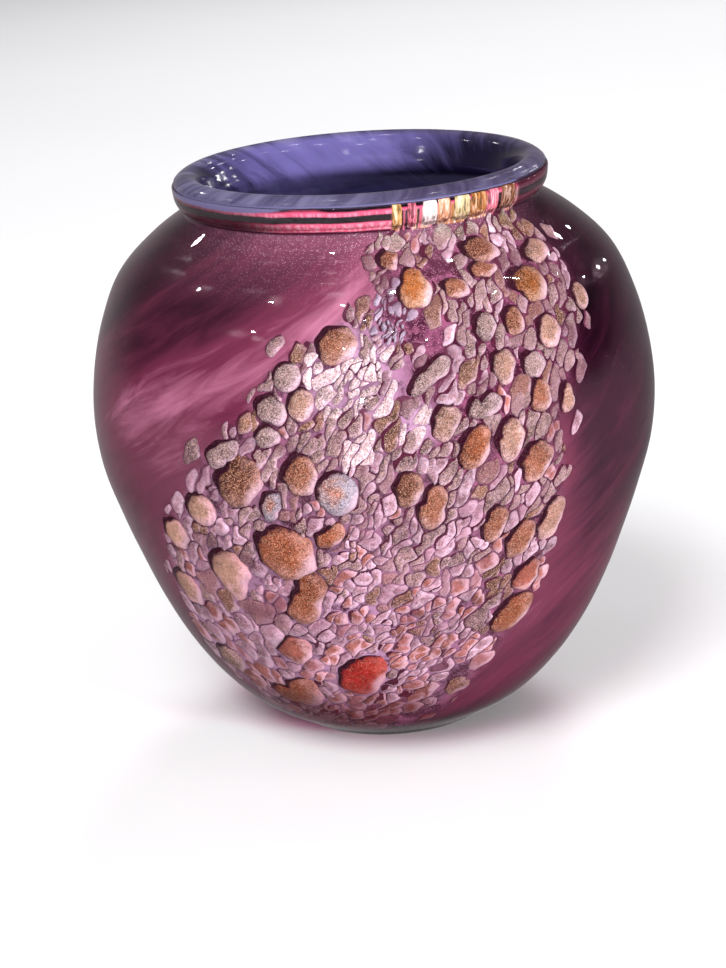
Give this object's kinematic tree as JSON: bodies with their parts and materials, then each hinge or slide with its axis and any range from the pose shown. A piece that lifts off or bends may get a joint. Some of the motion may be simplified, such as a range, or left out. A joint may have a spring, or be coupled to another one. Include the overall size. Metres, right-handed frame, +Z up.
{
  "type": "art glass vase",
  "caption": "Round-bodied hand blown vase with a rolled lip: clear purple casing over an opal liner, with a diagonal spray of coloured glass chips between them.",
  "frame": {"origin": "centre of the flat base, on the surface the vase stands on", "axes": "+Z up the axis of the vase; the spray of chips faces -Y"},
  "size_m": [0.1502, 0.1502, 0.1514],
  "materials": {
    "casing_glass": "fire polished transparent amethyst",
    "liner_glass": "glossy opaque blue violet to lilac",
    "amber_glass": "sparkling aventurine",
    "copper_glass": "sparkling aventurine",
    "orange_glass": "sparkling aventurine",
    "red_glass": "sparkling aventurine",
    "coral_glass": "opaque satin glass",
    "brown_glass": "dark sparkling aventurine",
    "tan_glass": "opaque satin glass with fine sparkle",
    "cream_glass": "opaque satin glass",
    "silver_glass": "opaque satin glass with fine sparkle",
    "blue_glass": "milky opal glass"
  },
  "bodies": {
    "root": {"chip_amber_teardrop": "amber_glass", "chip_coral_neck": "coral_glass", "chip_brown_neck": "brown_glass", "chip_amber_shoulder": "amber_glass", "chip_copper_bar": "copper_glass", "chip_copper_midway": "copper_glass", "chip_gold_right_upper": "amber_glass", "chip_gold_right_lower": "copper_glass", "chip_tan_far_right": "tan_glass", "chip_silver_upper": "silver_glass", "chip_gold_upper": "amber_glass", "chip_copper_top_left": "copper_glass", "chip_silver_left_upper": "silver_glass", "chip_bronze_upper": "brown_glass", "chip_gold_middle_upper": "amber_glass", "chip_tan_left": "tan_glass", "chip_silver_left_middle": "silver_glass", "chip_silver_left_lower": "silver_glass", "chip_silver_crescent": "silver_glass", "chip_brown_left": "brown_glass", "chip_copper_left": "copper_glass", "chip_blue_round": "blue_glass", "chip_blue_sliver": "blue_glass", "chip_pale_round": "cream_glass", "chip_pale_far_left": "cream_glass", "chip_orange_large": "orange_glass", "chip_orange_tail": "orange_glass", "chip_orange_diagonal": "orange_glass", "chip_cream_patch": "cream_glass", "chip_cream_low": "cream_glass", "chip_red_lozenge": "red_glass", "chip_orange_hook": "orange_glass", "chip_coral_low": "coral_glass", "chip_tan_low_left": "tan_glass", "chip_orange_red_middle": "orange_glass", "chip_copper_middle_right": "copper_glass", "chip_copper_right_edge": "copper_glass", "chip_silver_curl": "silver_glass", "chip_copper_right_tall": "copper_glass", "chip_tan_right_edge": "tan_glass", "chip_gold_middle": "amber_glass", "chip_silver_bar": "silver_glass", "chip_dark_copper": "brown_glass", "chip_copper_tall": "copper_glass", "chip_copper_right_low": "copper_glass", "chip_copper_right_lower": "copper_glass", "chip_tan_right_tall": "tan_glass", "chip_pink_oval": "coral_glass", "chip_orange_oval": "orange_glass", "lip_streak_amber": "amber_glass", "lip_streak_rose": "coral_glass", "lip_streak_white": "blue_glass", "lip_streak_apricot": "orange_glass", "lip_streak_cream": "cream_glass", "lip_streak_caramel": "copper_glass", "lip_streak_pink": "coral_glass", "lip_streak_brown": "brown_glass", "amethyst_casing": "casing_glass", "opal_liner": "liner_glass"}
  },
  "joints": []
}
